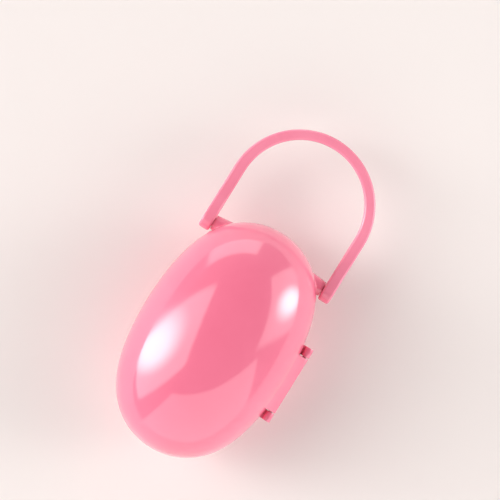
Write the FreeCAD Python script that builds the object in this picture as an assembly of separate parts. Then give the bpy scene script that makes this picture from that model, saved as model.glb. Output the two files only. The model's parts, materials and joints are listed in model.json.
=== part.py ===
import FreeCAD, Part
import math
import os

from FreeCAD import Vector

# Pacifier case: two hinged half-egg shells that snap shut, and a carry loop that swings on two pegs.
# Millimetres, +Z up. The origin is the centre of the flat foot that the case stands on. +Y runs along the
# case towards the carry loop, and +X runs across it towards the hinge.

# Driving dimensions of the egg
CASE_LENGTH = 80.0
CASE_WIDTH = 51.2
CASE_HEIGHT = 44.0
FLANK_FULLNESS = 0.20
WALL = 1.8
FOOT_CUT = 1.4
FLOOR_THICK = 2.0
FOOT_EDGE_ROUND = 1.2

# Rim, lip and snap, where the lid meets the base
SEAM_GAP = 0.12
RIM_CHAMFER = 0.4
LIP_THICK = 0.8
LIP_HEIGHT = 2.0
LIP_CLEARANCE = 0.15
LIP_HEADROOM = 0.2
SNAP_LENGTH = 19.0
SNAP_BEAD = 0.3
SNAP_BEAD_HEIGHT = 0.5
SNAP_BEAD_LIFT = 1.0
SNAP_PLAY = 0.2
SCOOP_RADIUS = 28.0
SCOOP_DEPTH = 1.0
SCOOP_DROP = 2.6

# Hinge on the +X flank
HINGE_LENGTH = 27.0
BARREL_RADIUS = 1.4
BARREL_REACH = 2.6
BARREL_END_CHAMFER = 0.25
PIN_RADIUS = 0.65
PIN_PRESS = 0.01
PIN_RUNNING = 0.05
KNUCKLE_GAP = 0.25
KNUCKLE_CLEARANCE = 0.2
END_KNUCKLE_LENGTH = 3.2
LUG_SHOULDER = 0.5
LUG_DROP = 6.0
LUG_ROOT = 3.5
LUG_EDGE_ROUND = 0.5

# Marks that moulding leaves: a sunk gate under the foot, and the ejector pins' discs inside the floor
GATE_RADIUS = 1.6
GATE_SINK = 0.35
GATE_STUB_RADIUS = 0.5
GATE_Y = 11.0
EJECTOR_RADIUS = 2.0
EJECTOR_SINK = 0.15
EJECTOR_X = 5.0
EJECTOR_Y = 12.0

# Carry loop and the pegs it swings on
LOOP_END = 74.6
LOOP_OUTER_HALF = 24.3
LEG_WIDTH = 3.8
CROWN_WIDTH = 3.3
LOOP_THICK = 3.2
LOOP_EDGE_ROUND = 0.8
EYELET_RADIUS = 3.4
NECK_END = 45.0
NECK_EASE = 0.45
PIVOT_Y = 31.5
PIVOT_DROP = 3.8
PEG_RADIUS = 1.5
PEG_RUNNING = 0.06
PEG_PRESS = 0.01
PEG_SEAT_DEPTH = 3.0
PEG_HEAD_RADIUS = 2.1
PEG_HEAD_THICK = 1.0
PEG_HEAD_SINK = 1.15
PEG_HEAD_CLEARANCE = 0.2
PEG_SLOT_WIDTH = 0.6
PEG_SLOT_DEPTH = 0.4
BOSS_RADIUS = 2.5
BOSS_FLARE = 0.12
BOSS_GAP = 0.15

# Values worked out from the driving dimensions
HALF_LENGTH = CASE_LENGTH / 2
HALF_WIDTH = CASE_WIDTH / 2
HALF_HEIGHT = CASE_HEIGHT / 2
PARTING_Z = HALF_HEIGHT - FOOT_CUT
RIM_HALF_GAP = SEAM_GAP / 2
HINGE_X = HALF_WIDTH + BARREL_REACH - BARREL_RADIUS
PIVOT_Z = PARTING_Z - PIVOT_DROP
LEG_INNER = LOOP_OUTER_HALF - LEG_WIDTH
LIP_INSET = WALL - LIP_THICK
REBATE_INSET = LIP_INSET - LIP_CLEARANCE

# How the shapes are drawn: where the caps start, points along a flank, and how far cutters run on
CAP_ANGLE = math.radians(75)
FLANK_STEPS = 10
OVERSHOOT = 1.0
BEYOND = 100.0

X_AXIS = Vector(1, 0, 0)
Y_AXIS = Vector(0, 1, 0)
Z_AXIS = Vector(0, 0, 1)


# The egg's outline: an ellipse whose flanks are filled out a little, with a round cap at each end

def outline_point(angle, inset):
    """Point of the plan outline, drawn in by inset, at an angle of -90 to 90 degrees from the +X flank."""
    s = math.sin(angle)
    across = (HALF_WIDTH - inset) * math.cos(angle) * (1 + FLANK_FULLNESS * s * s)
    return Vector(across, (HALF_LENGTH - inset) * s, 0)


def flank_curve(inset):
    """The +X flank of the outline as one smooth curve, between the two caps."""
    angles = [CAP_ANGLE * (2 * i / FLANK_STEPS - 1) for i in range(FLANK_STEPS + 1)]
    curve = Part.BSplineCurve()
    curve.interpolate(Points=[outline_point(angle, inset) for angle in angles], Parameters=angles)
    return curve


def flank_edge(inset, z):
    """That curve as an edge at height z."""
    edge = flank_curve(inset).toShape()
    edge.translate(Vector(0, 0, z))
    return edge


def end_cap(inset):
    """Where the +Y cap's ball starts, its centre and its radius, so that it runs on from the flank."""
    joint = outline_point(CAP_ANGLE, inset)
    run = flank_curve(inset).tangent(CAP_ANGLE)[0]
    centre = joint.y + joint.x * run.x / run.y
    return joint.y, centre, math.hypot(joint.x, joint.y - centre)


def outline_wire(inset, z):
    """The whole outline at height z: two flanks and two caps."""
    right = flank_edge(inset, z)
    left = mirrored(right)
    joint, centre, radius = end_cap(inset)
    edges = [right, left]
    for end in (1, -1):
        side = Vector(outline_point(CAP_ANGLE, inset).x, end * joint, z)
        tip = Vector(0, end * (centre + radius), z)
        edges.append(Part.Arc(side, tip, Vector(-side.x, side.y, z)).toShape())
    return Part.Wire(Part.__sortEdges__(edges))


def outline_prism(inset, low, high):
    """The outline drawn in by inset, as an upright block between two heights."""
    return Part.Face(outline_wire(inset, low)).extrude(Vector(0, 0, high - low))


def half_egg(inset, upward):
    """Solid half egg on one side of the parting plane: the flank turned about Y, then flattened."""
    rise = 1 if upward else -1
    joint, centre, radius = end_cap(inset)
    flank = flank_edge(inset, PARTING_Z)
    foot = Vector(0, -joint, PARTING_Z)
    top = Vector(0, joint, PARTING_Z)
    ends = [flank.Vertexes[0].Point, flank.Vertexes[-1].Point]
    sides = [Part.makeLine(ends[1], top), Part.makeLine(top, foot), Part.makeLine(foot, ends[0])]
    barrel = Part.Face(Part.Wire([flank] + sides)).revolve(Vector(0, 0, PARTING_Z), Y_AXIS, -180 * rise)
    z_range = sorted([PARTING_Z, PARTING_Z + rise * BEYOND])
    caps = []
    for end in (1, -1):
        ball = Part.makeSphere(radius, Vector(0, end * centre, PARTING_Z))
        y_range = sorted([end * joint, end * BEYOND])
        caps.append(ball.common(block(-BEYOND, BEYOND, *y_range, *z_range)))
    round_half = barrel.fuse(caps).removeSplitter()
    flatten = FreeCAD.Matrix()
    flatten.A33 = (HALF_HEIGHT - inset) / (HALF_WIDTH - inset)
    flatten.A34 = PARTING_Z * (1 - flatten.A33)
    return round_half.transformGeometry(flatten)


def rim_trim(upward):
    """What is cut from a half egg at its rim: half the seam gap, and a chamfer round the outside."""
    rise = 1 if upward else -1
    near_z = PARTING_Z + rise * RIM_HALF_GAP
    far_z = near_z + rise * 2 * RIM_CHAMFER
    rims = [outline_wire(RIM_CHAMFER, near_z), outline_wire(-RIM_CHAMFER, far_z)]
    flare = Part.makeLoft(rims, True, True)
    z_range = sorted([PARTING_Z - rise * OVERSHOOT, far_z])
    return block(-BEYOND, BEYOND, -BEYOND, BEYOND, *z_range).cut(flare)


# Small building blocks

def cylinder_x(radius, x_from, x_to, y, z):
    return Part.makeCylinder(radius, x_to - x_from, Vector(x_from, y, z), X_AXIS)


def cylinder_y(radius, y_from, y_to, x, z):
    return Part.makeCylinder(radius, y_to - y_from, Vector(x, y_from, z), Y_AXIS)


def block(x_from, x_to, y_from, y_to, z_from, z_to):
    return Part.makeBox(x_to - x_from, y_to - y_from, z_to - z_from, Vector(x_from, y_from, z_from))


def mirrored(shape):
    """The same shape on the other flank."""
    return shape.mirror(Vector(0, 0, 0), X_AXIS)


# Hinge

def knuckle_spans():
    """Where the knuckles lie along Y: the lid's long one, and a short one of the base at each end of it."""
    outer = HINGE_LENGTH / 2
    inner = outer - END_KNUCKLE_LENGTH
    lid_half = inner - KNUCKLE_GAP
    return [(-lid_half, lid_half)], [(-outer, -inner), (inner, outer)]


def hinge_knuckle(span, upward):
    """A barrel on the hinge axis with a lug that tapers into the shell's flank above or below the seam."""
    low, high = span
    rise = 1 if upward else -1
    corners = [
        (BARREL_RADIUS, 0),
        (BARREL_RADIUS, LUG_SHOULDER),
        (-BARREL_REACH, LUG_DROP),
        (-LUG_ROOT, LUG_DROP),
        (-LUG_ROOT, RIM_HALF_GAP),
        (-BARREL_RADIUS / 2, RIM_HALF_GAP),
        (-BARREL_RADIUS / 2, 0),
    ]
    points = [Vector(HINGE_X + dx, low, PARTING_Z + rise * dz) for dx, dz in corners]
    lug = Part.Face(Part.makePolygon(points + points[:1])).extrude(Vector(0, high - low, 0))
    outer = [e for e in lug.Edges if e.BoundBox.XMax > HINGE_X + BARREL_RADIUS / 2]
    outer = [e for e in outer if abs(e.CenterOfMass.z - PARTING_Z) > SEAM_GAP]
    lug = lug.makeFillet(LUG_EDGE_ROUND, outer)
    barrel = cylinder_y(BARREL_RADIUS, low, high, HINGE_X, PARTING_Z)
    barrel = barrel.makeChamfer(BARREL_END_CHAMFER, [e for e in barrel.Edges if e.Closed])
    return barrel.fuse(lug).removeSplitter()


def barrel_pocket(span):
    """Room that one half's flank leaves for a knuckle of the other half."""
    low, high = span
    radius = BARREL_RADIUS + KNUCKLE_CLEARANCE
    return cylinder_y(radius, low - KNUCKLE_GAP, high + KNUCKLE_GAP, HINGE_X, PARTING_Z)


def pin_hole(clearance):
    return cylinder_y(PIN_RADIUS + clearance, -HINGE_LENGTH, HINGE_LENGTH, HINGE_X, PARTING_Z)


def make_hinge_pin():
    half = HINGE_LENGTH / 2 - BARREL_END_CHAMFER
    pin = cylinder_y(PIN_RADIUS, -half, half, HINGE_X, PARTING_Z)
    return pin.makeChamfer(PIN_RADIUS / 4, [e for e in pin.Edges if e.Closed])


# Snap: a bead on the base's lip and a groove inside the lid, on the flank away from the hinge

def snap_strip(inset, low, high, length):
    """A strip of the -X flank between two heights above the parting plane, out to the drawn-in outline."""
    prism = outline_prism(inset, PARTING_Z + low, PARTING_Z + high)
    window = block(-BEYOND, -HALF_WIDTH / 2, -length / 2, length / 2, 0, BEYOND)
    return prism.common(window)


# Moulding marks on the base

def gate_mark():
    """Ring-shaped sink under the foot, round the stub of the gate."""
    sink = Part.makeCylinder(GATE_RADIUS, 2 * GATE_SINK, Vector(0, GATE_Y, -GATE_SINK))
    stub = Part.makeCylinder(GATE_STUB_RADIUS, GATE_SINK, Vector(0, GATE_Y, GATE_SINK / 2))
    return sink.cut(stub)


def ejector_marks():
    """Shallow discs in the floor of the hollow."""
    low = FLOOR_THICK - EJECTOR_SINK
    places = [Vector(x, y, low) for x in (-EJECTOR_X, EJECTOR_X) for y in (-EJECTOR_Y, EJECTOR_Y)]
    return [Part.makeCylinder(EJECTOR_RADIUS, 2 * EJECTOR_SINK, place) for place in places]


# Shell halves

def loop_boss():
    """Boss on the +X flank that carries one end of the loop, wider towards the shell."""
    root = Vector(LEG_INNER / 2, PIVOT_Y, PIVOT_Z)
    length = LEG_INNER - BOSS_GAP - root.x
    return Part.makeCone(BOSS_RADIUS + BOSS_FLARE * length, BOSS_RADIUS, length, root, X_AXIS)


def make_base_shell():
    bowl = half_egg(0, False).cut(rim_trim(False))
    bowl = bowl.common(block(-BEYOND, BEYOND, -BEYOND, BEYOND, 0, BEYOND))
    foot_edges = [e for e in bowl.Edges if e.BoundBox.ZMax < FOOT_CUT / 10]
    bowl = bowl.makeFillet(FOOT_EDGE_ROUND, foot_edges)

    lid_spans, base_spans = knuckle_spans()
    boss = loop_boss()
    lip = outline_prism(LIP_INSET, PARTING_Z - LIP_HEIGHT / 2, PARTING_Z + LIP_HEIGHT)
    knuckles = [hinge_knuckle(span, False) for span in base_spans]
    shell = bowl.fuse([lip, boss, mirrored(boss)] + knuckles)

    cavity = half_egg(WALL, False).fuse(outline_prism(WALL, PARTING_Z, PARTING_Z + 2 * LIP_HEIGHT))
    cavity = cavity.removeSplitter().common(block(-BEYOND, BEYOND, -BEYOND, BEYOND, FLOOR_THICK, BEYOND))
    shell = shell.cut(cavity)

    seat_floor = LEG_INNER - BOSS_GAP - PEG_SEAT_DEPTH
    seat = cylinder_x(PEG_RADIUS + PEG_PRESS, seat_floor, BEYOND, PIVOT_Y, PIVOT_Z)
    scoop_centre = Vector(SCOOP_DEPTH - HALF_WIDTH - SCOOP_RADIUS, 0, PARTING_Z - SCOOP_DROP)
    scoop = Part.makeSphere(SCOOP_RADIUS, scoop_centre)
    pockets = [barrel_pocket(span) for span in lid_spans]
    shell = shell.cut([seat, mirrored(seat), scoop, pin_hole(PIN_PRESS)] + pockets)
    shell = shell.cut([gate_mark()] + ejector_marks())

    bead = snap_strip(LIP_INSET - SNAP_BEAD, SNAP_BEAD_LIFT, SNAP_BEAD_LIFT + SNAP_BEAD_HEIGHT, SNAP_LENGTH)
    bead = bead.cut(outline_prism(WALL - LIP_THICK / 2, 0, BEYOND))
    return shell.fuse(bead).removeSplitter()


def make_lid_shell():
    lid_spans, base_spans = knuckle_spans()
    dome = half_egg(0, True).cut(rim_trim(True))
    shell = dome.fuse([hinge_knuckle(span, True) for span in lid_spans])
    shell = shell.cut(half_egg(WALL, True))
    rebate = outline_prism(REBATE_INSET, PARTING_Z - LIP_HEIGHT, PARTING_Z + LIP_HEIGHT + LIP_HEADROOM)
    groove = snap_strip(
        LIP_INSET - SNAP_BEAD - SNAP_PLAY / 2,
        SNAP_BEAD_LIFT - SNAP_PLAY,
        SNAP_BEAD_LIFT + SNAP_BEAD_HEIGHT + SNAP_PLAY,
        SNAP_LENGTH + 2 * SNAP_PLAY,
    )
    pockets = [barrel_pocket(span) for span in base_spans]
    return shell.cut([rebate, groove, pin_hole(PIN_RUNNING)] + pockets).removeSplitter()


# Carry loop

def tangent_on_eyelet(y, z):
    """Where a line from (y, z), measured from the pivot, touches the eyelet's rim on its own side."""
    distance = math.hypot(y, z)
    turn = math.atan2(z, y) + math.acos(EYELET_RADIUS / distance)
    return EYELET_RADIUS * math.cos(turn), EYELET_RADIUS * math.sin(turn)


def loop_leg(arch_y):
    """The +X leg: an eyelet whose neck eases into a straight strap, up to where the arch starts."""
    half = LOOP_THICK / 2
    touch_y, touch_z = tangent_on_eyelet(NECK_END - PIVOT_Y, half)

    def at(y, z):
        return Vector(LEG_INNER, PIVOT_Y + y, PIVOT_Z + z)

    def neck(sign):
        """Edge of the neck, from the eyelet's rim to the strap, tangent to both."""
        start, end = at(touch_y, sign * touch_z), at(NECK_END - PIVOT_Y, sign * half)
        reach = (end - start) * NECK_EASE
        curve = Part.BezierCurve()
        curve.setPoles([start, start + reach, end - Vector(0, reach.Length, 0), end])
        return curve.toShape()

    rim = Part.Arc(at(touch_y, touch_z), at(-EYELET_RADIUS, 0), at(touch_y, -touch_z)).toShape()
    strap = [
        at(NECK_END - PIVOT_Y, -half),
        at(arch_y - PIVOT_Y, -half),
        at(arch_y - PIVOT_Y, half),
        at(NECK_END - PIVOT_Y, half),
    ]
    edges = [rim, neck(1), neck(-1)] + Part.makePolygon(strap).Edges
    side = Part.Face(Part.Wire(Part.__sortEdges__(edges)))
    return side.extrude(Vector(LEG_WIDTH, 0, 0))


def loop_arch(arch_y):
    """The half-round crown of the loop, a little slimmer than the legs."""
    low = PIVOT_Z - LOOP_THICK / 2
    inner_rise = LOOP_END - CROWN_WIDTH - LEG_INNER

    def half_round(radius, y):
        start, top, end = Vector(radius, y, low), Vector(0, y + radius, low), Vector(-radius, y, low)
        return Part.Arc(start, top, end).toShape()

    outer = half_round(LOOP_OUTER_HALF, arch_y)
    inner = half_round(LEG_INNER, inner_rise)
    feet = []
    for side in (1, -1):
        corner = Vector(side * LEG_INNER, arch_y, low)
        feet.append(Part.makeLine(Vector(side * LOOP_OUTER_HALF, arch_y, low), corner))
        feet.append(Part.makeLine(corner, Vector(side * LEG_INNER, inner_rise, low)))
    face = Part.Face(Part.Wire(Part.__sortEdges__([outer, inner] + feet)))
    return face.extrude(Vector(0, 0, LOOP_THICK))


def make_carry_loop():
    arch_y = LOOP_END - LOOP_OUTER_HALF
    leg = loop_leg(arch_y)
    loop = loop_arch(arch_y).fuse([leg, mirrored(leg)]).removeSplitter()
    loop = loop.makeFillet(LOOP_EDGE_ROUND, loop.Edges)

    outside = LOOP_OUTER_HALF + OVERSHOOT
    bore = cylinder_x(PEG_RADIUS + PEG_RUNNING, LEG_INNER - OVERSHOOT, outside, PIVOT_Y, PIVOT_Z)
    sink_radius = PEG_HEAD_RADIUS + PEG_HEAD_CLEARANCE
    sink = cylinder_x(sink_radius, LOOP_OUTER_HALF - PEG_HEAD_SINK, outside, PIVOT_Y, PIVOT_Z)
    return loop.cut([bore, sink, mirrored(bore), mirrored(sink)])


def make_loop_peg():
    """Peg on the +X flank: a shank pressed into the base's boss, and a slotted head in the eyelet."""
    head_from = LOOP_OUTER_HALF - PEG_HEAD_THICK
    tip = LEG_INNER - BOSS_GAP - PEG_SEAT_DEPTH + PEG_PRESS
    shank = cylinder_x(PEG_RADIUS, tip, head_from, PIVOT_Y, PIVOT_Z)
    head = cylinder_x(PEG_HEAD_RADIUS, head_from, LOOP_OUTER_HALF, PIVOT_Y, PIVOT_Z)
    rims = [e for e in head.Edges if e.Closed]
    head = head.makeFillet(PEG_HEAD_THICK / 3, [e for e in rims if e.BoundBox.XMin > head_from])
    peg = shank.fuse(head).removeSplitter()
    half = PEG_SLOT_WIDTH / 2
    slot_floor = LOOP_OUTER_HALF - PEG_SLOT_DEPTH
    slot = block(slot_floor, BEYOND, PIVOT_Y - half, PIVOT_Y + half, -BEYOND, BEYOND)
    return peg.cut(slot)


def main():
    os.makedirs("parts", exist_ok=True)
    peg = make_loop_peg()
    pieces = {
        "base_shell": make_base_shell(),
        "lid_shell": make_lid_shell(),
        "hinge_pin": make_hinge_pin(),
        "carry_loop": make_carry_loop(),
        "loop_peg_right": peg,
        "loop_peg_left": mirrored(peg),
    }
    for name, shape in pieces.items():
        box = shape.optimalBoundingBox()
        print(
            f"{name}: valid {shape.isValid()}, solids {len(shape.Solids)}, volume {shape.Volume:.1f} mm3,"
            f" x {box.XMin:.2f} to {box.XMax:.2f}, y {box.YMin:.2f} to {box.YMax:.2f},"
            f" z {box.ZMin:.2f} to {box.ZMax:.2f}"
        )
        shape.exportStep(f"parts/{name}.step")


main()
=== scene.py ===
# %% [markdown]
# # A pacifier case
#
# The case is an egg of glossy pink plastic that keeps a pacifier clean in a bag. Its lid swings on a wire
# along one flank and snaps shut on the other, and a U-shaped carry loop swings on two pegs at one end.
#
# The solids already hold every size and every joint, so they are loaded as a fixed frame and measured. The
# two shells are then modelled again as smooth skins, because moulded plastic has rounded edges and soft
# roots that the solids leave sharp. The loop, the pegs and the wire keep their solids and get a finish.

# %% Load the solids
import json
import math

import bmesh
import bpy
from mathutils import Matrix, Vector


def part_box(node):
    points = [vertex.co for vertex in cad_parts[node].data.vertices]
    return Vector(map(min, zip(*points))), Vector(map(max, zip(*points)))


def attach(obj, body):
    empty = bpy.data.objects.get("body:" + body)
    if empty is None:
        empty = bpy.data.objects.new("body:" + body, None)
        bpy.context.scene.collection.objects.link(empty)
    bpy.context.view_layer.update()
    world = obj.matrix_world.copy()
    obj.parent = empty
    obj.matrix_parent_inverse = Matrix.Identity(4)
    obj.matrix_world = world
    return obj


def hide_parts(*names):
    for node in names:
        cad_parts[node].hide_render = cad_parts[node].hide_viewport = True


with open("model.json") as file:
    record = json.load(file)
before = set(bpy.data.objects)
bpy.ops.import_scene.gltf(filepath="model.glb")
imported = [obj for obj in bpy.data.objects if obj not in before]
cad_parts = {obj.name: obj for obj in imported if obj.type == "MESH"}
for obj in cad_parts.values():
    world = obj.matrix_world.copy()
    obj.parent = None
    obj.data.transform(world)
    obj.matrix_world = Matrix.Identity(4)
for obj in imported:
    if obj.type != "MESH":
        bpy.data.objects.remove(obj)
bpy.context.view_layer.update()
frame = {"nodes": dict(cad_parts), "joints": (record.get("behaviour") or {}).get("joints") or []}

print("solids:", ", ".join(sorted(frame["nodes"])))

# %% [markdown]
# ## The egg
#
# Lid and base are two halves of one egg, and the seam between them lies at the height of the hinge. The
# outline is an ellipse whose flanks are filled out a little towards the ends, and each cross section is an
# ellipse too. A scaled ball would be quicker, but its ends would be too pointed. One small formula gives
# any point of the outside, and drawn in by the wall's thickness it gives the inside as well.

# %% Measure the egg from the solids
mm = 0.001
joints = {joint["name"]: joint for joint in frame["joints"]}
hinge_x, _, seam_z = joints["lid_hinge"]["pos_m"]
lid_low, lid_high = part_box("lid_shell")
half_width = -lid_low.x
half_length = lid_high.y
half_height = lid_high.z - seam_z
flank_fullness = 0.20
wall = 1.8 * mm
print(f"egg {2000 * half_length:.1f} x {2000 * half_width:.1f} mm, lid {1000 * half_height:.1f} mm high")


# %% Points of the egg
def outline_point(angle, inset):
    """Point of the plan outline at the seam, drawn in by inset, at an angle from the hinge flank."""
    along = math.sin(angle)
    x = (half_width - inset) * math.cos(angle) * (1 + flank_fullness * along ** 2)
    return Vector((x, (half_length - inset) * along, seam_z))


def half_breadth(y, inset):
    """Half the egg's width at the place y along it."""
    along = y / (half_length - inset)
    return (half_width - inset) * math.sqrt(max(0, 1 - along ** 2)) * (1 + flank_fullness * along ** 2)


def egg_height(x, y, inset):
    """Height of the egg's surface over the seam at a place of the plan."""
    flatness = (half_height - inset) / (half_width - inset)
    return flatness * math.sqrt(max(0, half_breadth(y, inset) ** 2 - x ** 2))


def egg_point(angle, lean, inset, rise):
    """Point of the egg, by its lean from the pole. Rise is 1 for the lid and -1 for the base."""
    point = outline_point(angle, inset) * math.sin(lean)
    point.z = seam_z + rise * egg_height(point.x, point.y, inset)
    return point


def surface_x(y, z):
    """How far out the egg's surface lies at a place along it and a height."""
    flatness = half_height / half_width
    return math.sqrt(max(0, half_breadth(y, 0) ** 2 - ((z - seam_z) / flatness) ** 2))


print(f"top of the lid: {1000 * egg_point(0, 0, 0, 1).z:.2f} mm over the floor")

# %% [markdown]
# ## Skins made of rings
#
# A moulded shell is one closed skin that runs over the outside, round the rim and back along the inside.
# Here it is a stack of rings: every ring has a point at the same stations round the egg, and neighbouring
# rings are joined by faces. A subdivided cube would give fewer faces, but rings follow the formula exactly,
# so the gloss has no dents.

# %% Faces between rings
def band(upper, lower, upper_start, lower_start):
    """Faces between two neighbouring rings. A ring of one point is a pole."""
    count = max(len(upper), len(lower))
    faces = []
    for i in range(count):
        j = (i + 1) % count
        if len(upper) == 1:
            faces.append((upper_start, lower_start + i, lower_start + j))
        elif len(lower) == 1:
            faces.append((upper_start + i, lower_start, upper_start + j))
        else:
            faces.append((upper_start + i, lower_start + i, lower_start + j, upper_start + j))
    return faces


print("three points round a pole make the faces", band([0], [1, 2, 3], 0, 1))

# %% Join rings into a skin
crisp_angle = math.radians(40)


def shade_round(mesh):
    """Smooth shading that stays crisp along true edges."""
    mesh.shade_smooth()
    mesh.set_sharp_from_angle(angle=crisp_angle)


def skin(name, rings, tube=False):
    """A mesh piece from rings of points. A tube joins its last ring to its first."""
    points = [point for ring in rings for point in ring]
    starts = [sum(len(ring) for ring in rings[:i]) for i in range(len(rings))]
    order = list(range(len(rings)))
    if tube:
        order.append(0)
    faces = []
    for here, there in zip(order, order[1:]):
        faces += band(rings[here], rings[there], starts[here], starts[there])
    mesh = bpy.data.meshes.new(name)
    mesh.from_pydata(points, [], faces)
    shape = bmesh.new()
    shape.from_mesh(mesh)
    bmesh.ops.recalc_face_normals(shape, faces=shape.faces)
    shape.to_mesh(mesh)
    shape.free()
    shade_round(mesh)
    piece = bpy.data.objects.new(name, mesh)
    bpy.context.scene.collection.objects.link(piece)
    return piece


print(f"edges over {math.degrees(crisp_angle):.0f} degrees stay crisp")

# %% [markdown]
# ## Soft shapes
#
# Where the foot is cut flat and the finger scoop is sunk, the mould has a small radius, and so has the
# shoulder of a hinge lug. Bevelling each of these edges would be slow work on a curved surface. Instead a
# point takes the larger of two surfaces, with a smooth bend where they meet, so the radius is part of the
# shape.

# %% Smooth bends
def soft_positive(value, ease):
    """The value where it is over ease, 0 where it is under -ease, and a smooth bend between."""
    if value >= ease:
        return value
    if value <= -ease:
        return 0
    return (value + ease) ** 2 / (4 * ease)


def ramp(value, ease):
    """Smooth step from 0 to 1, across ease to each side of 0."""
    share = min(1, max(0, (value + ease) / (2 * ease)))
    return share * share * (3 - 2 * share)


print(f"a bend with an ease of 1 mm lifts its corner by {soft_positive(0, 1):.2f} mm")

# %% [markdown]
# ## Hinge lugs, barrel pocket, scoop and foot
#
# The hinge is a tab on one flank. The lid has one long knuckle, and the base has a short one at each end of
# it. Each knuckle has a lug that runs out into the shell in a soft curve, which catches the light as a band
# and not as a flat mirror. Beside the lid's knuckle the base is hollowed so that it can turn. On the other
# flank the base has a shallow scoop for the finger that opens the lid.

# %% Measure the hinge
pin_low, pin_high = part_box("hinge_pin")
pin_radius = (pin_high.z - pin_low.z) / 2
barrel_radius = lid_high.x - hinge_x
barrel_end_round = 0.25 * mm
hinge_half = pin_high.y + barrel_end_round
end_knuckle = 3.2 * mm
knuckle_gap = 0.25 * mm
base_spans = [(-hinge_half, end_knuckle - hinge_half), (hinge_half - end_knuckle, hinge_half)]
lid_spans = [(base_spans[0][1] + knuckle_gap, base_spans[1][0] - knuckle_gap)]
print(f"hinge {2000 * hinge_half:.1f} mm long, barrel {2000 * barrel_radius:.1f} mm across")

# %% Stations round the egg
hinge_zone = 15 * mm
wide_step = 0.75 * mm
fine_step = 0.05 * mm
fine_steps = 7
other_stations = 210


def hinge_places():
    """Places along the hinge, close together at the ends of every knuckle."""
    count = round(hinge_zone / wide_step)
    ends = [end for span in lid_spans + base_spans for end in span]
    fine = [end + i * fine_step for end in ends for i in range(-fine_steps, fine_steps + 1)]
    wide = [i * wide_step for i in range(-count, count)]
    wide = [y for y in wide if min(abs(y - end) for end in ends) > (fine_steps + 1) * fine_step]
    spaced = []
    for y in sorted(fine + wide):
        if not spaced or y - spaced[-1] > fine_step / 2:
            spaced.append(y)
    return spaced


zone_turn = math.asin(hinge_zone / half_length)
free_turn = 2 * math.pi - 2 * zone_turn
stations = [math.asin(y / half_length) for y in hinge_places()]
stations += [zone_turn + free_turn * i / other_stations for i in range(other_stations)]
print(len(stations), "stations round the egg")

# %% Shape the hinge flank
lug_shoulder = 0.5 * mm
lug_reach = 5.5 * mm
lug_curve = 1.6
lug_side_round = 0.08 * mm
turning_room = 0.2 * mm


def share_of(spans, y, ease, spare):
    """1 on the given stretches of the hinge, drawn in by spare, 0 off them, and a smooth step between."""
    return max(ramp(y - low - spare, ease) * ramp(high - spare - y, ease) for low, high in spans)


def with_lugs(point, spans):
    """The point moved out to a hinge lug, which is flush with the barrel and runs out into the shell."""
    height = abs(point.z - seam_z)
    if point.x < half_width / 2 or height > lug_reach:
        return point
    climbed = soft_positive(height - lug_shoulder, lug_shoulder / 2) / (lug_reach - lug_shoulder)
    stand_out = hinge_x + barrel_radius - half_breadth(point.y, 0)
    growth = stand_out * max(0, 1 - climbed) ** lug_curve
    share = share_of(spans, point.y, lug_side_round, lug_side_round)
    return point + Vector((share * growth, 0, 0))


def with_pockets(point, spans):
    """The point moved in to leave room for the other half's knuckles."""
    room = barrel_radius + turning_room
    height = abs(point.z - seam_z)
    if height >= room:
        return point
    limit = hinge_x - math.sqrt(room ** 2 - height ** 2)
    share = share_of(spans, point.y, knuckle_gap / 2, -knuckle_gap / 2)
    return point - Vector((share * max(0, point.x - limit), 0, 0))


print(f"lugs run out {1000 * lug_reach:.1f} mm from the seam")

# %% Shape the scoop and the foot
scoop_radius = 28 * mm
scoop_depth = 1 * mm
scoop_drop = 2.6 * mm
scoop_edge_round = 0.06 * mm
foot_edge_round = 0.12 * mm
scoop_centre = Vector((scoop_depth - half_width - scoop_radius, 0, seam_z - scoop_drop))


def with_scoop(point):
    """The point moved in to the ball that the finger scoop is cut with."""
    off_axis = (point.y - scoop_centre.y) ** 2 + (point.z - scoop_centre.z) ** 2
    if point.x > 0 or off_axis >= scoop_radius ** 2:
        return point
    ball_x = scoop_centre.x + math.sqrt(scoop_radius ** 2 - off_axis)
    return point + Vector((soft_positive(ball_x - point.x, scoop_edge_round), 0, 0))


def lid_outside(point):
    """A point of the egg as it lies on the outside of the lid."""
    return with_pockets(with_lugs(point, lid_spans), base_spans)


def base_outside(point):
    """A point of the egg as it lies on the outside of the base, which is cut flat where it stands."""
    point = with_scoop(with_pockets(with_lugs(point, base_spans), lid_spans))
    point.z = soft_positive(point.z, foot_edge_round)
    return point


print(f"finger scoop {1000 * scoop_depth:.1f} mm deep, {1000 * scoop_drop:.1f} mm under the seam")

# %% [markdown]
# ## The rim, the lip and the snap
#
# Where the halves meet, the outside edge is rounded, so a fine shadow line runs round the closed case. The
# base carries a thin lip that the lid's rebate slides over, and on the flank away from the hinge a bead on
# the lip clicks into a groove of the lid. All of these are more rings of the same skin.

# %% Rings over the outside
half_gap = 0.06 * mm
rim_round = 0.4 * mm
flank_step = 0.2 * mm
flank_top = 8.6 * mm
upright_cosine = 0.82
upright_ease = 0.11


def flank_point(angle, lean, rise):
    """Point of the egg whose station runs straight up the hinge flank, in line with the sides of the lugs."""
    point = egg_point(angle, lean, 0, rise)
    upright = ramp(math.cos(angle) - upright_cosine, upright_ease)
    if upright:
        seam_y = outline_point(angle, 0).y
        point.y += upright * (seam_y - point.y)
        point.x = surface_x(point.y, point.z)
    return point


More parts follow.
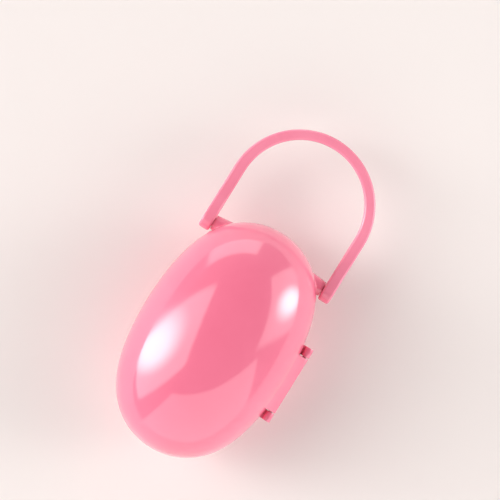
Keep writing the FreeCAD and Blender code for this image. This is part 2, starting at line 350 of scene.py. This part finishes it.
def outside_rings(rise, crown_steps, shape):
    """Rings from the pole to the rim, close together on the flank, where the hinge is."""
    crown_lean = math.acos(flank_top / half_height)
    crown = [crown_lean * i / crown_steps for i in range(1, crown_steps)]
    flank_count = round((flank_top - half_gap - rim_round) / flank_step)
    flank = [math.acos((flank_top - i * flank_step) / half_height) for i in range(flank_count)]
    rings = [[shape(egg_point(0, 0, 0, rise))]]
    rings += [[shape(egg_point(angle, lean, 0, rise)) for angle in stations] for lean in crown]
    rings += [[shape(flank_point(angle, lean, rise)) for angle in stations] for lean in flank]
    return rings


print(f"flank rings {1000 * flank_step:.1f} mm apart, up to {1000 * flank_top:.1f} mm from the seam")

# %% Rings round the rim and over the hollow
rim_steps = 5


def rim_rings(rise, shape):
    """The rounded edge of the rim."""
    rings = []
    for i in range(rim_steps + 1):
        bend = math.pi / 2 * i / rim_steps
        inset = rim_round * (1 - math.cos(bend))
        drop = Vector((0, 0, rise * (half_gap + rim_round * (1 - math.sin(bend)))))
        rings.append([shape(outline_point(angle, inset) + drop) for angle in stations])
    return rings


def inside_rings(rise, first_lean, steps, lowest):
    """Rings from the rim to the pole of the hollow, which is flat at its lowest height."""
    rings = []
    for i in range(steps):
        ring = [egg_point(angle, first_lean * (1 - i / steps), wall, rise) for angle in stations]
        rings.append([Vector((point.x, point.y, max(point.z, lowest))) for point in ring])
    pole = egg_point(0, 0, wall, rise)
    pole.z = max(pole.z, lowest)
    return rings + [[pole]]


print(f"rims rounded by {1000 * rim_round:.1f} mm, {2000 * half_gap:.2f} mm apart")

# %% Rings of an upright wall
snap_half = 9.5 * mm
snap_end = 0.6 * mm


def upright_rings(profile):
    """Rings of an upright wall, each from its inset, its height and how far the snap moves it out."""
    rings = []
    for inset, height, snap in profile:
        ring = []
        for angle in stations:
            point = outline_point(angle, inset)
            share = ramp(snap_half - abs(point.y), snap_end) if point.x < 0 else 0
            point = outline_point(angle, inset - snap * share)
            point.z += height
            ring.append(point)
        rings.append(ring)
    return rings


print(f"snap {2000 * snap_half:.0f} mm long")

# %% Profiles of the lip and of the rebate
lip_inset = 1.0 * mm
lip_height = 2.0 * mm
lip_edge = 0.15 * mm
bead = 0.3 * mm
bead_low = 1.0 * mm
bead_high = 1.5 * mm
play = 0.15 * mm
groove = 0.25 * mm
headroom = 0.2 * mm
rebate_inset = lip_inset - play
rebate_height = lip_height + headroom

lip_profile = [
    (lip_inset, -half_gap, 0),
    (lip_inset, bead_low - lip_edge, 0),
    (lip_inset, bead_low, bead),
    (lip_inset, bead_high - lip_edge, bead),
    (lip_inset, bead_high, 0),
    (lip_inset, lip_height - lip_edge, 0),
    (lip_inset + lip_edge, lip_height, 0),
    (wall - lip_edge, lip_height, 0),
    (wall, lip_height - lip_edge, 0),
    (wall, 0, 0),
]
rebate_profile = [
    (rebate_inset, half_gap, 0),
    (rebate_inset, bead_low - 2 * play, 0),
    (rebate_inset, bead_low - play, groove),
    (rebate_inset, bead_high + play, groove),
    (rebate_inset, bead_high + 2 * play, 0),
    (rebate_inset, rebate_height, 0),
]
print(f"lip {1000 * lip_height:.1f} mm high, with {1000 * (bead - play):.2f} mm of catch at the snap")

# %% [markdown]
# ## Finishes: what plastic shows up close
#
# Moulded plastic is never one flat colour. The pigment drifts a little as the melt flows, the surface keeps
# a faint waviness called orange peel, and handling leaves hairlines that dull the gloss. Several pieces
# share these effects, so each is a node group with its own inputs, placed in every material that needs it.

# %% Helpers that place nodes
def feed(tree, socket, value):
    """Link a socket to another one, or set it to a value."""
    if isinstance(value, bpy.types.NodeSocket):
        tree.links.new(value, socket)
    else:
        socket.default_value = value


def place(tree, kind, title, **values):
    """Add a node with a title, and feed its named inputs."""
    node = tree.nodes.new(kind)
    node.label = title
    for name, value in values.items():
        feed(tree, node.inputs[name.replace("_", " ")], value)
    return node


def reckon(tree, operation, *values):
    """The result of a sum on one or two values."""
    node = tree.nodes.new("ShaderNodeMath")
    node.operation = operation
    for socket, value in zip(node.inputs, values):
        feed(tree, socket, value)
    return node.outputs[0]


def on_piece(tree):
    """Place on the piece, which moves with it."""
    return place(tree, "ShaderNodeTexCoord", "place on the piece").outputs["Object"]


print("helpers: feed, place, reckon and on_piece")


# %% Group: how the melt filled the mould
def start_group(name, inputs, outputs):
    """A shader node group with named inputs and their usual values, and named outputs."""
    tree = bpy.data.node_groups.new(name, "ShaderNodeTree")
    for title, usual in inputs.items():
        kind = "NodeSocketVector" if isinstance(usual, tuple) else "NodeSocketFloat"
        socket = tree.interface.new_socket(title, in_out="INPUT", socket_type=kind)
        socket.default_value = usual
    for title in outputs:
        tree.interface.new_socket(title, in_out="OUTPUT", socket_type="NodeSocketFloat")
    return tree, tree.nodes.new("NodeGroupInput"), tree.nodes.new("NodeGroupOutput")


def make_melt_flow():
    """Slow drift of the pigment, and the fine waviness of the skin."""
    tree, given, result = start_group("melt_flow", {"Drift": 45, "Peel": 700}, ["Cloud", "Wave"])
    where = on_piece(tree)
    cloud = place(tree, "ShaderNodeTexNoise", "pigment drift", Vector=where, Scale=given.outputs["Drift"],
                  Detail=3, Roughness=0.55, Distortion=0.6)
    peel = place(tree, "ShaderNodeTexNoise", "orange peel", Vector=where, Scale=given.outputs["Peel"],
                 Detail=1, Roughness=0.4)
    contrast = place(tree, "ShaderNodeMapRange", "more contrast", Value=cloud.outputs["Fac"],
                     From_Min=0.3, From_Max=0.7)
    tree.links.new(contrast.outputs["Result"], result.inputs["Cloud"])
    tree.links.new(peel.outputs["Fac"], result.inputs["Wave"])
    return tree


melt_flow = make_melt_flow()
print("group:", melt_flow.name)


# %% Group: hairlines from handling
def make_hairlines():
    """Sparse thin scratches that run in two directions."""
    tree, given, result = start_group("hairlines", {"Fineness": 60, "Amount": 0.3}, ["Scratch"])
    where = on_piece(tree)
    limit = place(tree, "ShaderNodeMapRange", "how many", Value=given.outputs["Amount"],
                  To_Min=0.75, To_Max=0.55)
    lines = []
    for title, turned in (("first", (0.3, 0.2, 0.7)), ("second", (0.9, -0.4, -0.5))):
        stretch = place(tree, "ShaderNodeMapping", f"{title} direction", Vector=where, Rotation=turned,
                        Scale=(1, 20, 20))
        noise = place(tree, "ShaderNodeTexNoise", f"{title} lines", Vector=stretch.outputs["Vector"],
                      Scale=given.outputs["Fineness"], Detail=2, Roughness=0.6, Distortion=0.4)
        thin = place(tree, "ShaderNodeMapRange", f"{title} thin lines", Value=noise.outputs["Fac"],
                     From_Min=limit.outputs["Result"], From_Max=0.9)
        lines.append(thin.outputs["Result"])
    tree.links.new(reckon(tree, "MAXIMUM", *lines), result.inputs["Scratch"])
    return tree


hairlines = make_hairlines()
print("group:", hairlines.name)

# %% [markdown]
# ## The gloss outside, the satin inside and the other finishes
#
# The outside of the shells is polished: a clear coat gives the sharp reflections, and a rougher layer under
# it gives the soft glow round them. The inside of the mould is spark-eroded, so the hollow is satin with a
# fine grain. The loop is a softer plastic with a fine parting line, and the wire is drawn steel.

# %% Helpers for materials
def start_finish(name):
    """A new material with its shader."""
    finish = bpy.data.materials.new(name)
    finish.use_nodes = True
    tree = finish.node_tree
    return finish, tree, tree.nodes["Principled BSDF"]


def use_group(tree, group, **values):
    """Place a node group and feed its named inputs."""
    node = tree.nodes.new("ShaderNodeGroup")
    node.node_tree = group
    node.label = group.name
    for name, value in values.items():
        feed(tree, node.inputs[name.replace("_", " ")], value)
    return node


print("helpers: start_finish and use_group")


# %% Helpers for colour, values and relief
def tint(tree, mask, deep, pale):
    """Colour that runs from deep to pale with a mask."""
    blend = place(tree, "ShaderNodeValToRGB", "colour drift", Fac=mask)
    blend.color_ramp.elements[0].color = (*deep, 1)
    blend.color_ramp.elements[1].color = (*pale, 1)
    return blend.outputs["Color"]


def spread(tree, mask, low, high):
    """A value that runs from low to high with a mask."""
    return place(tree, "ShaderNodeMapRange", "spread", Value=mask, To_Min=low, To_Max=high).outputs["Result"]


def raise_surface(tree, shader, height, depth, before=None):
    """Bump of a real depth in metres, on top of an earlier bump."""
    bump = place(tree, "ShaderNodeBump", "relief", Height=height, Distance=depth, Strength=1)
    if before:
        tree.links.new(before.outputs["Normal"], bump.inputs["Normal"])
    tree.links.new(bump.outputs["Normal"], shader.inputs["Normal"])
    return bump


print("helpers: tint, spread and raise_surface")


# %% Polished outside of the shells
def make_gloss_pink():
    """Polished plastic: a clear layer over a rougher one, dulled along the hairlines."""
    finish, tree, shader = start_finish("gloss_pink")
    flow = use_group(tree, melt_flow, Drift=38, Peel=420)
    worn = use_group(tree, hairlines, Fineness=180, Amount=0.2).outputs["Scratch"]
    colour = tint(tree, flow.outputs["Cloud"], deep=(0.925, 0.195, 0.315), pale=(0.955, 0.215, 0.34))
    tree.links.new(colour, shader.inputs["Base Color"])
    tree.links.new(spread(tree, worn, low=0.30, high=0.42), shader.inputs["Roughness"])
    tree.links.new(spread(tree, worn, low=1.0, high=0.8), shader.inputs["Coat Weight"])
    shader.inputs["Coat Roughness"].default_value = 0.03
    shader.inputs["Coat IOR"].default_value = 1.75
    shader.inputs["Specular IOR Level"].default_value = 0.2
    raise_surface(tree, shader, flow.outputs["Wave"], depth=0.004 * mm)
    return finish


gloss_pink = make_gloss_pink()
print("outside of the shells:", gloss_pink.name)


# %% Spark-eroded inside of the shells
def make_satin_pink():
    """Satin plastic with the fine grain of a spark-eroded mould."""
    finish, tree, shader = start_finish("satin_pink")
    flow = use_group(tree, melt_flow, Drift=60, Peel=900)
    grain = place(tree, "ShaderNodeTexNoise", "spark grain", Vector=on_piece(tree), Scale=3200, Detail=2)
    colour = tint(tree, flow.outputs["Cloud"], deep=(0.90, 0.20, 0.315), pale=(0.93, 0.22, 0.34))
    tree.links.new(colour, shader.inputs["Base Color"])
    tree.links.new(spread(tree, grain.outputs["Fac"], low=0.38, high=0.62), shader.inputs["Roughness"])
    raise_surface(tree, shader, grain.outputs["Fac"], depth=0.02 * mm)
    return finish


satin_pink = make_satin_pink()
print("inside of the shells:", satin_pink.name)

# %% Softer plastic of the loop, with its parting line
pivot_y, pivot_z = joints["loop_swing"]["pos_m"][1:]
parting_half = 0.12 * mm
parting_height = 0.05 * mm


def make_strap_pink():
    """Softer plastic whose parting line runs round the loop at the height of the pivot."""
    finish, tree, shader = start_finish("strap_pink")
    flow = use_group(tree, melt_flow, Drift=70, Peel=800)
    worn = use_group(tree, hairlines, Fineness=260, Amount=0.3).outputs["Scratch"]
    height = place(tree, "ShaderNodeSeparateXYZ", "height", Vector=on_piece(tree)).outputs["Z"]
    over = place(tree, "ShaderNodeMapRange", "over the middle", Value=height, From_Min=pivot_z,
                 From_Max=pivot_z + parting_half, To_Min=1, To_Max=0)
    under = place(tree, "ShaderNodeMapRange", "under the middle", Value=height,
                  From_Min=pivot_z - parting_half, From_Max=pivot_z)
    parting_line = reckon(tree, "MULTIPLY", over.outputs["Result"], under.outputs["Result"])
    colour = tint(tree, flow.outputs["Cloud"], deep=(0.93, 0.255, 0.375), pale=(0.96, 0.29, 0.415))
    tree.links.new(colour, shader.inputs["Base Color"])
    tree.links.new(spread(tree, worn, low=0.26, high=0.36), shader.inputs["Roughness"])
    shader.inputs["Coat Weight"].default_value = 0.6
    shader.inputs["Coat Roughness"].default_value = 0.12
    peel = raise_surface(tree, shader, flow.outputs["Wave"], depth=0.006 * mm)
    raise_surface(tree, shader, parting_line, depth=parting_height, before=peel)
    return finish


strap_pink = make_strap_pink()
print(f"parting line {2000 * parting_half:.2f} mm wide, {1000 * pivot_z:.1f} mm over the floor")


# %% Unpolished plastic of the pegs
def make_peg_pink():
    """The same plastic as the shells, fresh from a smaller mould and without polish."""
    finish, tree, shader = start_finish("moulded_peg_pink")
    flow = use_group(tree, melt_flow, Drift=160, Peel=1500)
    worn = use_group(tree, hairlines, Fineness=400, Amount=0.4).outputs["Scratch"]
    colour = tint(tree, flow.outputs["Cloud"], deep=(0.87, 0.185, 0.295), pale=(0.91, 0.21, 0.325))
    tree.links.new(colour, shader.inputs["Base Color"])
    tree.links.new(spread(tree, worn, low=0.30, high=0.50), shader.inputs["Roughness"])
    raise_surface(tree, shader, flow.outputs["Wave"], depth=0.005 * mm)
    return finish


peg_pink = make_peg_pink()
print("pegs:", peg_pink.name)


# %% Drawn wire
def make_drawn_steel():
    """Steel wire with the fine lines that drawing leaves along it."""
    finish, tree, shader = start_finish("drawn_steel")
    stretch = place(tree, "ShaderNodeMapping", "along the wire", Vector=on_piece(tree), Scale=(1, 0.02, 1))
    lines = place(tree, "ShaderNodeTexNoise", "drawing lines", Vector=stretch.outputs["Vector"],
                  Scale=9000, Detail=2).outputs["Fac"]
    worn = use_group(tree, hairlines, Fineness=200, Amount=0.4).outputs["Scratch"]
    colour = tint(tree, lines, deep=(0.52, 0.52, 0.53), pale=(0.68, 0.68, 0.69))
    tree.links.new(colour, shader.inputs["Base Color"])
    tree.links.new(spread(tree, worn, low=0.22, high=0.40), shader.inputs["Roughness"])
    shader.inputs["Metallic"].default_value = 1
    raise_surface(tree, shader, lines, depth=0.004 * mm)
    return finish


drawn_steel = make_drawn_steel()
print("wire:", drawn_steel.name)

# %% [markdown]
# ## The lid
#
# The lid is the glossy dome seen from above. Its skin runs from the top of the dome down over the hinge
# lug, round the rim, up the rebate with the groove of the snap, and back over the hollow. The barrel that
# turns on the wire is a piece of its own, set into the lug, because a round tube with a bore doesn't fit
# into the rings.

# %% Skin of the lid
def finish_shell(piece, outside_rings_count):
    """Gloss on the outside, and satin on every face after the given number of rings."""
    piece.data.materials.append(gloss_pink)
    piece.data.materials.append(satin_pink)
    first_inside = len(stations) * outside_rings_count
    for face in piece.data.polygons:
        face.material_index = 1 if face.index >= first_inside else 0


lid_outer = outside_rings(rise=1, crown_steps=40, shape=lid_outside)
lid_outer += rim_rings(rise=1, shape=lid_outside)
lid_rings = lid_outer + upright_rings(rebate_profile)
hollow_lean = math.acos(rebate_height / (half_height - wall))
lid_rings += inside_rings(rise=1, first_lean=hollow_lean, steps=40, lowest=0)
lid = skin("lid_skin", lid_rings)
finish_shell(lid, len(lid_outer) - 1)
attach(lid, "lid")
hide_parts("lid_shell")
print("lid:", len(lid.data.polygons), "faces")


# %% Barrels that turn on the wire
barrel_sides = 64
bore = 0.98 * pin_radius
end_inset = 0.3 * barrel_end_round


def turns_round(count):
    """Angles evenly spaced round a circle."""
    return [2 * math.pi * i / count for i in range(count)]


def make_barrel(name, span, body):
    """A tube round the hinge axis with rounded ends, whose bore hugs the wire."""
    low, high = span
    profile = [
        (bore, low),
        (barrel_radius - barrel_end_round, low),
        (barrel_radius - end_inset, low + end_inset),
        (barrel_radius, low + barrel_end_round),
        (barrel_radius, high - barrel_end_round),
        (barrel_radius - end_inset, high - end_inset),
        (barrel_radius - barrel_end_round, high),
        (bore, high),
    ]
    rings = []
    for radius, y in profile:
        ring = []
        for turned in turns_round(barrel_sides):
            ring.append(Vector((hinge_x + radius * math.cos(turned), y, seam_z + radius * math.sin(turned))))
        rings.append(ring)
    barrel = skin(name, rings, tube=True)
    barrel.data.materials.append(gloss_pink)
    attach(barrel, body)


make_barrel("lid_barrel", lid_spans[0], "lid")
make_barrel("base_barrel_low", base_spans[0], "base")
make_barrel("base_barrel_high", base_spans[1], "base")
print("barrels: 3")

# %% [markdown]
# ## The base
#
# The base is the lower half of the egg, cut flat where it stands. Its skin is made like the lid's, with the
# lip instead of the rebate. Moulding leaves marks that a close look shows: round discs in the floor where
# ejector pins pushed the part out, and a sunk ring under the foot where the plastic came in. These are cut
# with a Boolean, which suits a few small round holes in a dense skin.

# %% Skin of the base
floor_thick = 2 * mm
lip_lean = math.radians(89)
base_outer = outside_rings(rise=-1, crown_steps=80, shape=base_outside)
base_outer += rim_rings(rise=-1, shape=base_outside)
base_rings = base_outer + upright_rings(lip_profile)
base_rings += inside_rings(rise=-1, first_lean=lip_lean, steps=60, lowest=floor_thick)
base = skin("base_skin", base_rings)
finish_shell(base, len(base_outer) - 1)
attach(base, "base")
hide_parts("base_shell")
print("base:", len(base.data.polygons), "faces")


# %% Cutters for the marks that moulding leaves
cutter_sides = 48


def make_disc_cutter(name, x, y, radius, low, high, stub=0):
    """A short upright cylinder, or a ring round a stub."""

    def circle(size, z):
        """Points round the middle of the cutter."""
        turns = turns_round(cutter_sides)
        return [Vector((x + size * math.cos(turned), y + size * math.sin(turned), z)) for turned in turns]

    rings = [circle(radius, low), circle(radius, high)]
    if stub:
        return skin(name, rings + [circle(stub, high), circle(stub, low)], tube=True)
    return skin(name, [[Vector((x, y, low))], *rings, [Vector((x, y, high))]])


def cut_out(piece, cutter):
    """Take the cutter's shape out of the piece for good."""
    cut = piece.modifiers.new("cut", "BOOLEAN")
    cut.operation = "DIFFERENCE"
    cut.solver = "EXACT"
    cut.object = cutter
    shown = piece.evaluated_get(bpy.context.evaluated_depsgraph_get())
    done = bpy.data.meshes.new_from_object(shown)
    piece.modifiers.clear()
    piece.data = done
    shade_round(done)
    bpy.data.objects.remove(cutter)


print("cutters with", cutter_sides, "sides")

# %% Ejector discs in the floor and the gate under the foot
ejector_radius = 2 * mm
ejector_x = 5 * mm
ejector_y = 12 * mm
ejector_sink = 0.15 * mm
gate_radius = 1.6 * mm
gate_stub = 0.5 * mm
gate_y = 11 * mm
gate_sink = 0.35 * mm
for x in (-ejector_x, ejector_x):
    for y in (-ejector_y, ejector_y):
        disc = make_disc_cutter("ejector", x, y, ejector_radius, floor_thick - ejector_sink, 2 * floor_thick)
        cut_out(base, disc)
gate = make_disc_cutter("gate", 0, gate_y, gate_radius, -gate_sink, gate_sink, stub=gate_stub)
cut_out(base, gate)
print("base with its marks:", len(base.data.polygons), "faces")

# %% [markdown]
# ## The bosses
#
# Each leg of the loop swings on a peg, and the peg sits in a boss that stands out of the base. A plain
# cylinder would meet the shell in a hard line. The moulded boss has a little draft and a small radius at
# its root, and because the shell slopes away under it, every line along the boss ends at its own place on
# the egg.

# %% Lines along a boss
peg_low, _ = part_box("loop_peg_right")
peg_grip = 2.99 * mm
boss_end = peg_low.x + peg_grip
boss_radius = 2.5 * mm
boss_draft = 0.12
boss_edge = 0.2 * mm
boss_fillet = 0.45 * mm
boss_sides = 72
bend_steps = 6


def shell_x(turned, radius):
    """How far out the shell lies at a place round the pivot."""
    return surface_x(pivot_y + radius * math.cos(turned), pivot_z + radius * math.sin(turned))


def boss_line(turned):
    """Pairs of radius and reach along the boss: edge, drafted side, fillet, and an end under the skin."""
    root_radius = boss_radius + boss_draft * (boss_end - shell_x(turned, boss_radius) - boss_fillet)
    root_reach = shell_x(turned, root_radius) + boss_fillet
    bends = [math.pi / 2 * i / bend_steps for i in range(bend_steps + 1)]
    line = []
    for bend in bends:
        radius = boss_radius - boss_edge * (1 - math.sin(bend))
        line.append((radius, boss_end - boss_edge * (1 - math.cos(bend))))
    side_radius, side_reach = line[-1]
    for i in range(1, bend_steps):
        share = i / bend_steps
        radius = side_radius + share * (root_radius - side_radius)
        line.append((radius, side_reach + share * (root_reach - side_reach)))
    for bend in bends:
        radius = root_radius + boss_fillet * (1 - math.cos(bend))
        line.append((radius, shell_x(turned, radius) + boss_fillet * (1 - math.sin(bend))))
    radius += boss_edge
    line.append((radius, shell_x(turned, radius) - boss_edge))
    return line


print(f"bosses end {1000 * boss_end:.2f} mm from the middle")


# %% Bosses on both flanks
def make_boss(name, flank):
    """A boss as rings round the pivot, from its flat end to under the skin of the base."""
    turns = turns_round(boss_sides)
    lines = [boss_line(turned) for turned in turns]
    rings = [[Vector((flank * boss_end, pivot_y, pivot_z))]]
    for i in range(len(lines[0])):
        ring = []
        for turned, line in zip(turns, lines):
            radius, reach = line[i]
            y = pivot_y + radius * math.cos(turned)
            ring.append(Vector((flank * reach, y, pivot_z + radius * math.sin(turned))))
        rings.append(ring)
    under = sum(rings[-1], Vector()) / len(turns)
    boss = skin(name, rings + [[under]])
    boss.data.materials.append(gloss_pink)
    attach(boss, "base")


make_boss("boss_right", flank=1)
make_boss("boss_left", flank=-1)
print("bosses: 2")

# %% [markdown]
# ## The loop, the pegs and the wire
#
# These are small rigid pieces whose solids already have their rounded edges, bores and slots. Building them
# again would add nothing, so their objects stay as they are and only take the finishes.

# %% Dress the pieces that keep their solids
dressing = {
    "carry_loop": strap_pink,
    "loop_peg_left": peg_pink,
    "loop_peg_right": peg_pink,
    "hinge_pin": drawn_steel,
}
for node, finish in dressing.items():
    frame["nodes"][node].material_slots[0].material = finish
    print(node, "wears", finish.name)

# %% [markdown]
# ## Camera
#
# The case is seen from straight above and turned by about a third of a right angle. A long lens keeps the
# sides of the egg out of sight, as they are in the picture that this follows. The lens comes from the size
# that one pixel has at the height of the seam, so the case fills the image as it should.

# %% Camera over the case
turn = math.radians(31.8)
pixel = 0.3175 * mm
image_width = 500
aim_right = 34
aim_up = 90
eye_distance = 0.75
image_right = Vector((math.cos(turn), math.sin(turn), 0))
image_up = Vector((-math.sin(turn), math.cos(turn), 0))
aim = aim_right * pixel * image_right + aim_up * pixel * image_up
lens = bpy.data.cameras.new("camera")
lens.sensor_width = 36
lens.lens = lens.sensor_width * eye_distance / (image_width * pixel)
camera = bpy.data.objects.new("camera", lens)
camera.location = (aim.x, aim.y, seam_z + eye_distance)
camera.rotation_euler = (0, 0, turn)
bpy.context.scene.collection.objects.link(camera)
bpy.context.scene.camera = camera
bpy.context.scene.view_settings.view_transform = "Standard"
print(f"camera {1000 * eye_distance:.0f} mm over the seam, {lens.lens:.0f} mm lens")

# %% [markdown]
# ## Floor and surroundings
#
# The case lies on a plain warm white surface. The light comes from a pale room with a soft window on each
# side and a dark ceiling. The glossy dome mirrors all of it: pale fields near its edge, and its own deep
# colour in the middle, where it mirrors the ceiling. The room is painted in the world by direction alone,
# so it lights every view of the case in the same way. Where the camera itself looks past the floor, it sees
# a plain pale backdrop.

# %% Floor
floor_half = 6.0
floor_mesh = bpy.data.meshes.new("floor")
corners = [(x * floor_half, y * floor_half, 0) for x, y in ((-1, -1), (1, -1), (1, 1), (-1, 1))]
floor_mesh.from_pydata(corners, [], [(0, 1, 2, 3)])
floor = bpy.data.objects.new("floor", floor_mesh)
bpy.context.scene.collection.objects.link(floor)
paper, _, paper_shader = start_finish("warm_white_paper")
paper_shader.inputs["Base Color"].default_value = (0.89, 0.835, 0.815, 1)
paper_shader.inputs["Roughness"].default_value = 0.8
paper_shader.inputs["Specular IOR Level"].default_value = 0.1
floor_mesh.materials.append(paper)
print(f"floor {2 * floor_half:.0f} m wide")

# %% Pale walls and a dark ceiling
room = bpy.data.worlds.new("room")
bpy.context.scene.world = room
room.use_nodes = True
room_tree = room.node_tree
backdrop = room_tree.nodes["Background"]
backdrop.inputs["Color"].default_value = (1.0, 0.97, 0.95, 1)
direction = place(room_tree, "ShaderNodeTexCoord", "direction").outputs["Generated"]
climb = place(room_tree, "ShaderNodeSeparateXYZ", "climb", Vector=direction).outputs["Z"]
walls = place(room_tree, "ShaderNodeMapRange", "walls to ceiling", Value=climb, From_Min=0.3, From_Max=0.85,
              To_Min=0.25, To_Max=0.05)
light = walls.outputs["Result"]
print("room:", room.name)


# %% Group: a soft window
window_edge = 0.06


def measure(tree, operation, first, second):
    """A number worked out from two vectors, such as their distance."""
    node = tree.nodes.new("ShaderNodeVectorMath")
    node.operation = operation
    feed(tree, node.inputs[0], first)
    feed(tree, node.inputs[1], second)
    return node.outputs["Value"]


def make_soft_window():
    """1 for directions that look through a rectangular window, 0 for others, with a soft edge between."""
    axes = {"Direction": (0, 0, 1), "Ahead": (0, 0, 1), "Across": (1, 0, 0), "Up": (0, 1, 0)}
    sizes = {"Half Across": 0.5, "Half Up": 0.5}
    tree, given, result = start_group("soft_window", axes | sizes, ["Mask"])
    direction = given.outputs["Direction"]
    ahead = measure(tree, "DOT_PRODUCT", direction, given.outputs["Ahead"])
    mask = reckon(tree, "GREATER_THAN", ahead, 0)
    for axis in ("Across", "Up"):
        aside = measure(tree, "DOT_PRODUCT", direction, given.outputs[axis])
        aside = reckon(tree, "ABSOLUTE", reckon(tree, "DIVIDE", aside, ahead))
        inside = reckon(tree, "SUBTRACT", given.outputs[f"Half {axis}"], aside)
        edge = place(tree, "ShaderNodeMapRange", "soft edge", Value=inside, From_Min=-window_edge,
                     From_Max=window_edge)
        edge.interpolation_type = "SMOOTHSTEP"
        mask = reckon(tree, "MULTIPLY", mask, edge.outputs["Result"])
    tree.links.new(mask, result.inputs["Mask"])
    return tree


soft_window = make_soft_window()
print("group:", soft_window.name)


# %% A window on each side
def add_window(so_far, side, climb_angle, roll, half_across, half_up, level):
    """The light so far and a window, given by its side of the image, its climb and its roll in degrees.

    Its half sizes across and up are shares of its distance.
    """
    side, climb_angle, roll = (math.radians(angle) for angle in (side, climb_angle, roll))
    flat = image_right * math.cos(side) + image_up * math.sin(side)
    upright = Vector((0, 0, 1))
    ahead = flat * math.cos(climb_angle) + upright * math.sin(climb_angle)
    level_line = upright.cross(flat)
    across = level_line * math.cos(roll) + ahead.cross(level_line) * math.sin(roll)
    window = use_group(room_tree, soft_window, Direction=direction, Ahead=ahead, Across=across,
                       Up=ahead.cross(across), Half_Across=half_across, Half_Up=half_up)
    return reckon(room_tree, "ADD", so_far, reckon(room_tree, "MULTIPLY", window.outputs["Mask"], level))


light = add_window(light, side=168, climb_angle=35, roll=20, half_across=0.40, half_up=0.60, level=2.0)
light = add_window(light, side=4, climb_angle=20, roll=3, half_across=0.48, half_up=0.47, level=1.45)
light = add_window(light, side=-92, climb_angle=13, roll=-15, half_across=1.16, half_up=1.12, level=1.2)
light = add_window(light, side=98, climb_angle=10, roll=-10, half_across=0.50, half_up=0.28, level=1.85)
print("room with four windows")

# %% A pale backdrop where the camera looks past the floor
backdrop_level = 0.95
camera_looks = place(room_tree, "ShaderNodeLightPath", "who looks").outputs["Is Camera Ray"]
shown_light = place(room_tree, "ShaderNodeMapRange", "pale to the camera", Value=camera_looks, To_Min=light,
                    To_Max=backdrop_level)
room_tree.links.new(shown_light.outputs["Result"], backdrop.inputs["Strength"])
print("backdrop", backdrop_level, "to the camera")

# %% [markdown]
# ## Lamps placed by their reflections
#
# On a glossy dome every lamp shows as a highlight, so the highlights say where the lamps were. A mirror
# turns the view about the surface's direction. Picking the spot of a highlight on the dome therefore gives
# the direction of its lamp, and the highlight's size gives the lamp's size.

# %% Which way the dome faces
slope_step = 0.01 * mm


def dome_direction(x, y):
    """Direction that the lid's surface faces at a place of the plan."""
    rise_x = egg_height(x + slope_step, y, 0) - egg_height(x - slope_step, y, 0)
    rise_y = egg_height(x, y + slope_step, 0) - egg_height(x, y - slope_step, 0)
    return Vector((-rise_x, -rise_y, 2 * slope_step)).normalized()


print("straight up at the top of the dome:", dome_direction(0, 0).z)

# %% Softboxes
cloth_middle = (0.5, 0.5, 0)
core_share = 0.1
edge_share = 0.5


def hang_softbox(name, x, y, distance, width, height, core):
    """A softbox, brightest in its middle, that the dome mirrors at a place when seen from straight above."""
    facing = dome_direction(x, y)
    towards = 2 * facing.z * facing - Vector((0, 0, 1))
    lamp = bpy.data.lights.new(name, "AREA")
    lamp.shape = "RECTANGLE"
    lamp.size = width
    lamp.size_y = height
    # With this energy the cloth is as bright as its emission says, whatever its size.
    lamp.energy = math.pi * width * height
    lamp.use_nodes = True
    tree = lamp.node_tree
    on_cloth = place(tree, "ShaderNodeNewGeometry", "place on the cloth").outputs["Parametric"]
    glow = place(tree, "ShaderNodeMapRange", "bright middle",
                 Value=measure(tree, "DISTANCE", on_cloth, cloth_middle),
                 From_Min=core_share, From_Max=edge_share, To_Min=core, To_Max=0)
    glow.interpolation_type = "SMOOTHSTEP"
    tree.links.new(glow.outputs["Result"], tree.nodes["Emission"].inputs["Strength"])
    box = bpy.data.objects.new(name, lamp)
    box.location = Vector((x, y, seam_z + egg_height(x, y, 0))) + towards * distance
    box.rotation_mode = "QUATERNION"
    box.rotation_quaternion = towards.to_track_quat("Z", "Y")
    bpy.context.scene.collection.objects.link(box)
    print(f"{name}: {math.degrees(math.asin(towards.z)):.0f} degrees over the floor")


hang_softbox("left_softbox", x=-15.0 * mm, y=-14.0 * mm, distance=4.0, width=2.5, height=6.2, core=6.2)
hang_softbox("right_softbox", x=13.4 * mm, y=22.8 * mm, distance=4.0, width=2.3, height=3.8, core=7.2)
